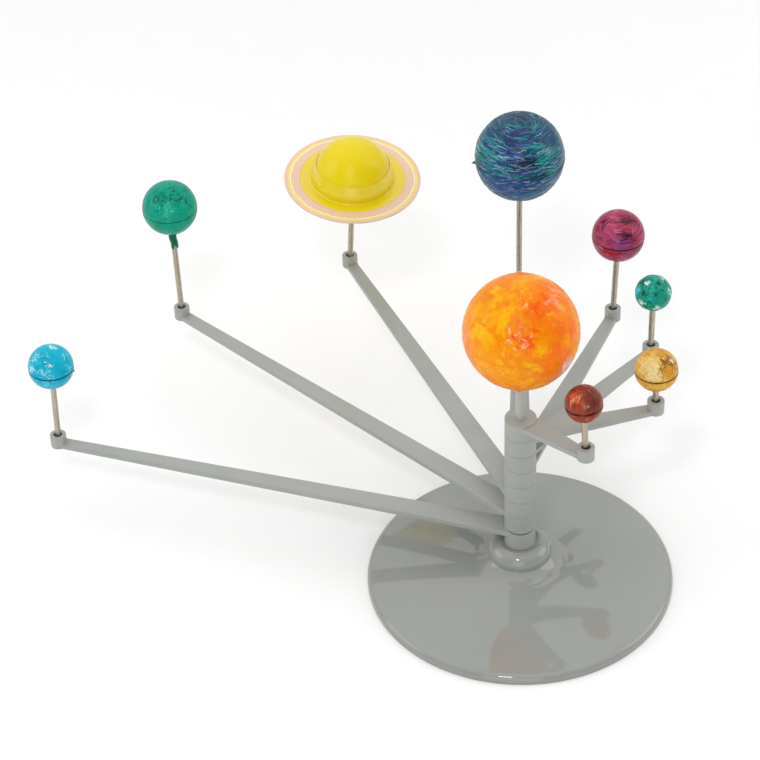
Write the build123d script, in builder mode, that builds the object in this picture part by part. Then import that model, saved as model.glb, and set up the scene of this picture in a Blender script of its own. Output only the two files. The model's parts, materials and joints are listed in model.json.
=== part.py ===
"""Desk orrery: a dish base with a post, eight planet arms turning on it, and hollow two-part balls.

Millimetres, +Z up. The origin is the middle of the base, on the surface it stands on. +X is to the
right and -Y to the front. Azimuths turn counter-clockwise from +X, seen from above.
"""

import os
from collections import namedtuple
from math import cos, radians, sin, sqrt

from build123d import *

# Base dish: points of its upper surface as (radius, height), and how steeply it slopes there
BASE_RADIUS = 70.0
BASE_WALL = 2.6
RIM_RISE = 0.8
RIM_CROWN = (66.9, 3.9)
RIM_SLOPE = 12
DISH_MIDDLE = (43.0, 8.3)
MIDDLE_SLOPE = 9
DISH_INNER = (22.0, 11.5)
INNER_SLOPE = 9
DISH_TOP = (14.4, 15.0)
TOP_SLOPE = 40
BOSS_BULGE = (13.3, 19.9)
BULGE_SLOPE = 58
BOSS_LIP = (9.4, 22.2)
SEAT_RADIUS = 7.6
SEAT_HEIGHT = 21.6
SOCKET_RADIUS = 6.0
SOCKET_FOOT = 3.0

# Ribs under the dish, from the socket outwards. Their ends run into the walls that they join
RIB_COUNT = 6
RIB_THICKNESS = 1.4
RIB_REACH = 36.0
RIB_FOOT = 4.0
RIB_TIP_FOOT = 6.4
RIB_BITE = 0.5
RIB_COVER = 1.4

# Post
POST_FOOT_RADIUS = 3.25
POST_RADIUS = 2.3
POST_BOTTOM = 3.5
SHOULDER_HEIGHT = 31.45
PRESS_GAP = 0.02
RUNNING_GAP = 0.06

# Arms: a hub on the post, a flat tapering bar and a cup for the rod
HUB_RADIUS = 7.07
HUB_HEIGHT = 8.75
HUB_GAP = 0.2
HUB_EDGE = 0.45
BAR_ROOT_WIDTH = 11.0
BAR_TIP_WIDTH = 5.4
BAR_THICKNESS = 2.4
BAR_DROP = 0.6
BAR_EDGE = 0.35
CUP_RADIUS = 3.85
CUP_HEIGHT = 6.4
CUP_RISE = 3.4
CUP_EDGE = 0.35
CUP_MOUTH_RADIUS = 2.1
CUP_HOLE_DEPTH = 5.4

# Rods and balls
ROD_RADIUS = 1.4
ROD_EDGE = 0.25
SOCKET_WALL = 1.1
SOCKET_CAP = 1.0
END_GAP = 0.1
ROD_STOP = 0.12
BALL_WALL = 1.1
LIP_WALL = 0.9
LIP_HEIGHT = 1.2
LIP_GAP = 0.06
SEAM_BEVEL = 0.35
SUN_RADIUS = 25.4
SUN_HEIGHT = 141.2

# Saturn's ring: a thin disc with a collar that hugs the ball
RING_RADIUS = 33.5
RING_THICKNESS = 0.8
RING_BELOW_CENTRE = 2.0
COLLAR_RADIUS = 20.4
COLLAR_HEIGHT = 8.8
COLLAR_GAP = 0.05

# Lean is the rod's run per unit of rise, towards +X and +Y
Planet = namedtuple("Planet", "name azimuth reach ball_radius ball_height lean_x lean_y")
PLANETS = [
    Planet("mercury", -40.0, 36.5, 8.4, 121.2, -0.050, 0.0),
    Planet("venus", 18.0, 62.8, 9.8, 105.6, -0.022, 0.0),
    Planet("earth", 50.0, 92.9, 8.6, 109.1, 0.0, 0.0),
    Planet("mars", 68.6, 119.2, 12.5, 112.6, 0.028, 0.0),
    Planet("jupiter", 90.5, 148.0, 21.6, 132.2, 0.0, 0.0),
    Planet("saturn", 116.0, 198.0, 19.2, 105.2, 0.065, -0.101),
    Planet("uranus", 139.3, 223.5, 13.5, 103.6, -0.013, 0.0),
    Planet("neptune", 165.3, 226.9, 10.8, 74.9, 0.031, 0.0),
]


def hub_floor(index):
    """Height of an arm's hub: the last arm sits in the base, the others stack on the shoulder."""
    if index == len(PLANETS) - 1:
        return SEAT_HEIGHT + HUB_GAP
    above_shoulder = len(PLANETS) - 2 - index
    return SHOULDER_HEIGHT + HUB_GAP + above_shoulder * (HUB_HEIGHT + HUB_GAP)


def level(height, azimuth=0.0):
    """A horizontal plane whose own x axis points along an arm."""
    return Plane(
        origin=(0, 0, height),
        x_dir=(cos(radians(azimuth)), sin(radians(azimuth)), 0),
        z_dir=(0, 0, 1),
    )


def rod_axis(planet, index):
    """From the floor of the cup's hole, up along the rod."""
    cup_rim = hub_floor(index) + HUB_HEIGHT + CUP_RISE
    x = planet.reach * cos(radians(planet.azimuth))
    y = planet.reach * sin(radians(planet.azimuth))
    return Axis((x, y, cup_rim - CUP_HOLE_DEPTH), (planet.lean_x, planet.lean_y, 1))


def along(axis, height):
    """The point of an axis at a height above the ground."""
    return axis.position + axis.direction * ((height - axis.position.Z) / axis.direction.Z)


def section_plane(axis, centre):
    """A plane through the axis, with local y along it, for profiles that are revolved."""
    sideways = Vector(0, 1, 0).cross(axis.direction).normalized()
    return Plane(origin=centre, x_dir=sideways, z_dir=sideways.cross(axis.direction))


def on_circle(radius, x):
    """How far a circle about the origin reaches in y at x."""
    return sqrt(radius**2 - x**2)


def beneath(point, slope):
    """A wall's thickness under a point of the dish that slopes by that many degrees."""
    return (point[0] - BASE_WALL * sin(radians(slope)), point[1] - BASE_WALL * cos(radians(slope)))


def finish(part, label):
    """Names a piece and writes its file."""
    part.label = label
    export_step(part, f"parts/{label}.step")


def make_base():
    with BuildPart() as base_dish:
        with BuildSketch(Plane.XZ):
            with BuildLine():
                bore = POST_FOOT_RADIUS + PRESS_GAP
                inner_rim = BASE_RADIUS - BASE_WALL
                edge = Line((inner_rim, 0), (BASE_RADIUS, 0))
                side = Line(edge @ 1, (BASE_RADIUS, RIM_RISE))
                crown = TangentArc(side @ 1, RIM_CROWN, tangent=(0, 1))
                dish = ThreePointArc(crown @ 1, DISH_MIDDLE, DISH_INNER)
                sweep_up = TangentArc(dish @ 1, DISH_TOP, tangent=dish % 1)
                boss = ThreePointArc(sweep_up @ 1, BOSS_BULGE, BOSS_LIP)
                lip = Line(boss @ 1, (SEAT_RADIUS, SEAT_HEIGHT))
                seat = Line(lip @ 1, (bore, SEAT_HEIGHT))
                wall = Line(seat @ 1, (bore, SOCKET_FOOT))
                foot = Line(wall @ 1, (SOCKET_RADIUS, SOCKET_FOOT))
                socket = Line(foot @ 1, (SOCKET_RADIUS, SEAT_HEIGHT - BASE_WALL))
                boss_under = Line(socket @ 1, beneath(BOSS_BULGE, BULGE_SLOPE))
                boss_side = Line(boss_under @ 1, beneath(DISH_TOP, TOP_SLOPE))
                inner_under = Line(boss_side @ 1, beneath(DISH_INNER, INNER_SLOPE))
                under = ThreePointArc(
                    inner_under @ 1,
                    beneath(DISH_MIDDLE, MIDDLE_SLOPE),
                    beneath(RIM_CROWN, RIM_SLOPE),
                )
                Line(under @ 1, (inner_rim, RIM_RISE))
                Line((inner_rim, RIM_RISE), edge @ 0)
            make_face()
        revolve(axis=Axis.Z)
        rib_root = SOCKET_RADIUS - RIB_BITE
        for turn in range(RIB_COUNT):
            with BuildSketch(Plane.XZ.rotated((0, 0, turn * 360 / RIB_COUNT))):
                with BuildLine():
                    Polyline(
                        (rib_root, RIB_FOOT),
                        (RIB_REACH, RIB_TIP_FOOT),
                        (RIB_REACH, DISH_MIDDLE[1] - RIB_BITE),
                        (DISH_INNER[0], DISH_INNER[1] - RIB_COVER),
                        (DISH_TOP[0], DISH_TOP[1] - RIB_COVER),
                        (rib_root, SEAT_HEIGHT - BASE_WALL - RIB_BITE),
                        close=True,
                    )
                make_face()
            extrude(amount=RIB_THICKNESS / 2, both=True)
    finish(base_dish.part, "base_dish")


def make_post():
    tip = SUN_HEIGHT - ROD_STOP * SUN_RADIUS
    with BuildPart() as centre_post:
        with BuildSketch(Plane.XY.offset(POST_BOTTOM)):
            Circle(POST_FOOT_RADIUS)
        extrude(amount=SHOULDER_HEIGHT - POST_BOTTOM)
        with BuildSketch(Plane.XY.offset(SHOULDER_HEIGHT)):
            Circle(POST_RADIUS)
        extrude(amount=tip - SHOULDER_HEIGHT)
        chamfer(centre_post.faces().sort_by(Axis.Z)[-1].edges(), ROD_EDGE)
        chamfer(centre_post.faces().sort_by(Axis.Z)[0].edges(), ROD_EDGE)
    finish(centre_post.part, "centre_post")


def make_arm(planet, index):
    floor = hub_floor(index)
    bar_top = floor + HUB_HEIGHT - BAR_DROP
    cup_rim = floor + HUB_HEIGHT + CUP_RISE
    sits_in_base = index == len(PLANETS) - 1
    bore = (POST_FOOT_RADIUS if sits_in_base else POST_RADIUS) + RUNNING_GAP
    with BuildPart() as arm:
        with BuildSketch(level(floor)):
            Circle(HUB_RADIUS)
        extrude(amount=HUB_HEIGHT)
        fillet(arm.edges().group_by(Axis.Z)[-1], HUB_EDGE)
        with BuildSketch(level(bar_top, planet.azimuth)):
            with BuildLine():
                Polyline(
                    (0, -BAR_ROOT_WIDTH / 2),
                    (planet.reach, -BAR_TIP_WIDTH / 2),
                    (planet.reach, BAR_TIP_WIDTH / 2),
                    (0, BAR_ROOT_WIDTH / 2),
                    close=True,
                )
            make_face()
        extrude(amount=-BAR_THICKNESS)
        with BuildSketch(level(cup_rim, planet.azimuth)):
            with Locations((planet.reach, 0)):
                Circle(CUP_RADIUS)
        extrude(amount=-CUP_HEIGHT)
        long_edges = arm.edges().filter_by(GeomType.LINE).filter_by(
            lambda edge: edge.length > planet.reach / 2
        )
        fillet(long_edges.group_by(Axis.Z)[-1], BAR_EDGE)
        fillet(arm.faces().sort_by(Axis.Z)[-1].edges(), CUP_EDGE)
        with BuildSketch(level(floor)):
            Circle(bore)
        extrude(amount=HUB_HEIGHT, mode=Mode.SUBTRACT)
        with BuildSketch(level(cup_rim, planet.azimuth)):
            with Locations((planet.reach, 0)):
                Circle(CUP_MOUTH_RADIUS)
        extrude(amount=-CUP_HOLE_DEPTH, mode=Mode.SUBTRACT)
    finish(arm.part, f"{planet.name}_arm")


def make_rod(planet, index):
    axis = rod_axis(planet, index)
    # a leaning rod stands on the low side of its end, so it starts that much above the hole's floor
    lift = ROD_RADIUS * sqrt(planet.lean_x**2 + planet.lean_y**2)
    start = along(axis, axis.position.Z + lift)
    length = (along(axis, planet.ball_height) - start).length - ROD_STOP * planet.ball_radius
    with BuildPart() as rod:
        with BuildSketch(Plane(origin=start, z_dir=axis.direction)):
            Circle(ROD_RADIUS)
        extrude(amount=length)
        chamfer(rod.edges().filter_by(GeomType.CIRCLE), ROD_EDGE)
    finish(rod.part, f"{planet.name}_rod")


def make_lower_half(name, radius, axis, centre, pin_radius):
    """A hollow half ball with a lip that the upper half fits over, and a blind socket for its pin."""
    inner = radius - BALL_WALL
    bore = pin_radius + RUNNING_GAP
    boss = bore + SOCKET_WALL
    socket_top = -ROD_STOP * radius + END_GAP
    lip_inner = inner - LIP_WALL
    with BuildPart() as lower:
        with BuildSketch(section_plane(axis, centre)):
            with BuildLine():
                hole = Line((bore, -on_circle(radius, bore)), (bore, socket_top))
                ceiling = Line(hole @ 1, (0, socket_top))
                core = Line(ceiling @ 1, (0, socket_top + SOCKET_CAP))
                cap = Line(core @ 1, (boss, socket_top + SOCKET_CAP))
                tube = Line(cap @ 1, (boss, -on_circle(inner, boss)))
                halfway = (boss + lip_inner) / 2
                hollow = ThreePointArc(
                    tube @ 1,
                    (halfway, -on_circle(inner, halfway)),
                    (lip_inner, -on_circle(inner, lip_inner)),
                )
                lip_wall = Line(hollow @ 1, (lip_inner, LIP_HEIGHT))
                lip_top = Line(lip_wall @ 1, (on_circle(inner, LIP_HEIGHT) - LIP_GAP, LIP_HEIGHT))
                lip_side = Line(lip_top @ 1, (inner - LIP_GAP, 0))
                seam = Line(lip_side @ 1, (radius - SEAM_BEVEL, 0))
                bevel = Line(seam @ 1, (on_circle(radius, SEAM_BEVEL), -SEAM_BEVEL))
                diagonal = radius / sqrt(2)
                ThreePointArc(bevel @ 1, (diagonal, -diagonal), hole @ 0)
            make_face()
        revolve(axis=Axis(centre, axis.direction))
    finish(lower.part, f"{name}_lower_half")


def make_upper_half(name, radius, axis, centre):
    """A hollow half ball that rests on the lower half's rim."""
    inner = radius - BALL_WALL
    with BuildPart() as upper:
        with BuildSketch(section_plane(axis, centre)):
            with BuildLine():
                inner_diagonal = inner / sqrt(2)
                hollow = ThreePointArc((0, inner), (inner_diagonal, inner_diagonal), (inner, 0))
                seam = Line(hollow @ 1, (radius - SEAM_BEVEL, 0))
                bevel = Line(seam @ 1, (on_circle(radius, SEAM_BEVEL), SEAM_BEVEL))
                diagonal = radius / sqrt(2)
                outside = ThreePointArc(bevel @ 1, (diagonal, diagonal), (0, radius))
                Line(outside @ 1, hollow @ 0)
            make_face()
        revolve(axis=Axis(centre, axis.direction))
    finish(upper.part, f"{name}_upper_half")


def make_ring(planet, axis, centre):
    """A flat disc whose collar closes round the ball above its seam."""
    clear = planet.ball_radius + COLLAR_GAP
    foot = -RING_BELOW_CENTRE - RING_THICKNESS
    face = -RING_BELOW_CENTRE
    top = face + COLLAR_HEIGHT
    with BuildPart() as ring:
        with BuildSketch(section_plane(axis, centre)):
            with BuildLine():
                inside = ThreePointArc(
                    (on_circle(clear, foot), foot), (clear, 0), (on_circle(clear, top), top)
                )
                step = Line(inside @ 1, (on_circle(COLLAR_RADIUS, top), top))
                root = (on_circle(COLLAR_RADIUS, face), face)
                collar = ThreePointArc(step @ 1, (COLLAR_RADIUS, 0), root)
                upper_face = Line(collar @ 1, (RING_RADIUS, face))
                rim = Line(upper_face @ 1, (RING_RADIUS, foot))
                Line(rim @ 1, inside @ 0)
            make_face()
        revolve(axis=Axis(centre, axis.direction))
    finish(ring.part, f"{planet.name}_ring")


def make_ball(name, radius, axis, centre, pin_radius):
    make_lower_half(name, radius, axis, centre, pin_radius)
    make_upper_half(name, radius, axis, centre)


os.makedirs("parts", exist_ok=True)
make_base()
make_post()
make_ball("sun", SUN_RADIUS, Axis.Z, Vector(0, 0, SUN_HEIGHT), POST_RADIUS)
for index, planet in enumerate(PLANETS):
    rod_line = rod_axis(planet, index)
    ball_centre = along(rod_line, planet.ball_height)
    make_arm(planet, index)
    make_rod(planet, index)
    make_ball(planet.name, planet.ball_radius, rod_line, ball_centre, ROD_RADIUS)
    if planet.name == "saturn":
        make_ring(planet, rod_line, ball_centre)
    print(planet.name, "ball centre", ball_centre, "spin axis", rod_line.direction)
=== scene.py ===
"""Looks of the desk orrery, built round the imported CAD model: hand-painted balls, moulded grey
plastic, steel rods, studio floor and light. Metres; lengths on a ball's own surface are millimetres.
"""

import json
from collections import namedtuple
from itertools import product
from math import cos, pi, radians, sin, sqrt, tan

import bpy
import numpy as np
from mathutils import Matrix, Vector


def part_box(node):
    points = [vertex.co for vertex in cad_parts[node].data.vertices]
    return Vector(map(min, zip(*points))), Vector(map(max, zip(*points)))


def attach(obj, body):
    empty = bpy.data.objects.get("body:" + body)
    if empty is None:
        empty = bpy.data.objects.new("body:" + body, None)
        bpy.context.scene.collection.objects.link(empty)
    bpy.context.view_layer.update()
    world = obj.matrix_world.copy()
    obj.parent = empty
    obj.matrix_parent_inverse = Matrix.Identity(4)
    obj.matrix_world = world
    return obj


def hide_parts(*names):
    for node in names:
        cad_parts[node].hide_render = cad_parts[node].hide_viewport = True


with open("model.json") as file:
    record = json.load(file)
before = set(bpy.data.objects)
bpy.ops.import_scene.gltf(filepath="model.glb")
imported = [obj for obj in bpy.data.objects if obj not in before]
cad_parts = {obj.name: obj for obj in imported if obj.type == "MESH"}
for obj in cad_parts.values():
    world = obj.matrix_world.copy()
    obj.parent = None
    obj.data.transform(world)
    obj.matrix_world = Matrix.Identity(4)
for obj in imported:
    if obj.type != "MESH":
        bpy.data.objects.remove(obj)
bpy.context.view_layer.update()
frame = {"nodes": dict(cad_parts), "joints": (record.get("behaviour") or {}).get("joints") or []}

MM = 0.001
PLANETS = ["mercury", "venus", "earth", "mars", "jupiter", "saturn", "uranus", "neptune"]

# Camera
LENS_MM = 116.05
CAMERA_DISTANCE = 1.1329
CAMERA_ELEVATION = 43.25
CAMERA_YAW = -0.0577
CAMERA_PITCH = 0.0790
CAMERA_ROLL = -2.246

# Studio: where the room glows most, in degrees, and how strongly, there and elsewhere
GLOW_DIRECTION = (90, 62)
GLOW_START = 0.1
GLOW_STRENGTH = 1.22
ROOM_STRENGTH = 0.34
LIT_POINT = (-0.04, 0.05, 0.08)
FLOOR_HALF_WIDTH = 6.0
FLOOR_DROP = 0.0002

# A square soft box: azimuth and elevation in degrees, distance and size in metres, power in watts
Lamp = namedtuple("Lamp", "name azimuth elevation distance size power")
LAMPS = [
    Lamp("front", -98, 52, 1.3, 0.16, 2.2),
    Lamp("fill", -92, 16, 1.2, 0.8, 2.4),
    Lamp("left", 186, 24, 1.0, 0.6, 1.8),
    Lamp("right", 8, 26, 1.0, 0.6, 1.7),
]

# Pins and balls, in millimetres
ROD_RADIUS = 1.4
POST_RADIUS = 2.3
BALL_WALL = 1.1
BORE_GAP = 0.06
SOCKET_WALL = 1.1
SOCKET_CAP = 1.0
ROD_STOP = 0.12
END_GAP = 0.1
LIP_WALL = 0.9
LIP_HEIGHT = 1.2
LIP_GAP = 0.06
HALVES_GAP = 0.01
SEAM_FADE = 0.7
HOLE_FADE = 0.5
SHARP_ANGLE = 35

# Saturn's ring, in millimetres
RING_RADIUS = 33.5
RING_THICKNESS = 0.8
RING_BELOW_CENTRE = 2.0
COLLAR_RADIUS = 20.4
COLLAR_HEIGHT = 8.8
COLLAR_INSET = 0.14
COLLAR_TOP_WALL = 0.04
COLLAR_FILLET = 0.9
COLLAR_WAVE = 0.10
RING_GAP = 0.05
RING_EDGE = 0.2
RING_LINE_PITCH = 0.8
RING_LINE_DEPTH = 0.035
RING_POINT_PITCH = 0.12
RING_SEGMENTS = 420
PRINT_RADIUS = 25.7
PRINT_DEPTH = 0.09
OUTER_BAND_RADIUS = 31.7
OUTER_BAND_RISE = 0.07

# Paint that ran down Uranus's rod, in millimetres
DRIP_LENGTH = 11.6
DRIP_BORE = ROD_RADIUS + 0.012
DRIP_LEAST = 0.04
DRIP_ROWS = 40
DRIP_SEGMENTS = 48

# A layer of strokes: how many, their colours, length and width in millimetres, heading (0 runs round
# the ball, 90 from pole to pole) and how much it wanders in degrees, how wet the brush is, from 0 to 1,
# and where on the ball they are: azimuth, elevation and spread in degrees, or all over
Layer = namedtuple("Layer", "count colours length width heading wander wet place", defaults=[None])
# A place that gives its colours to most of the strokes there: azimuth, elevation and radius in degrees
Patch = namedtuple("Patch", "azimuth elevation radius colours")
PATCH_SHARE = 0.8
# A pip of paint or of moulding that stands proud: place in degrees, radius and height in millimetres
Pip = namedtuple("Pip", "azimuth elevation radius height")
# One stroke as it is laid. turn is its heading in radians, lift how thick its paint is, bow how much it
# bends and seed its hairs
Stroke = namedtuple("Stroke", "middle length width turn tint lift bow seed wet")
# One ball's look. In millimetres: spacing is the mesh's pitch, soft how far a stroke's edge fades, warp
# how far the edges wander, relief the paint's greatest thickness, bristle the hairs' pitch and groove
# the seam's depth. From 0 to 1: opacity is how much a stroke hides, mottle how much of the paint is
# darker, streak how much the pigment varies, gloss the specular level and rough the roughness
Look = namedtuple(
    "Look",
    "seed ground layers patches pips spacing soft opacity warp relief bristle groove groove_colour rough"
    " mottle streak gloss",
)

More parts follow.
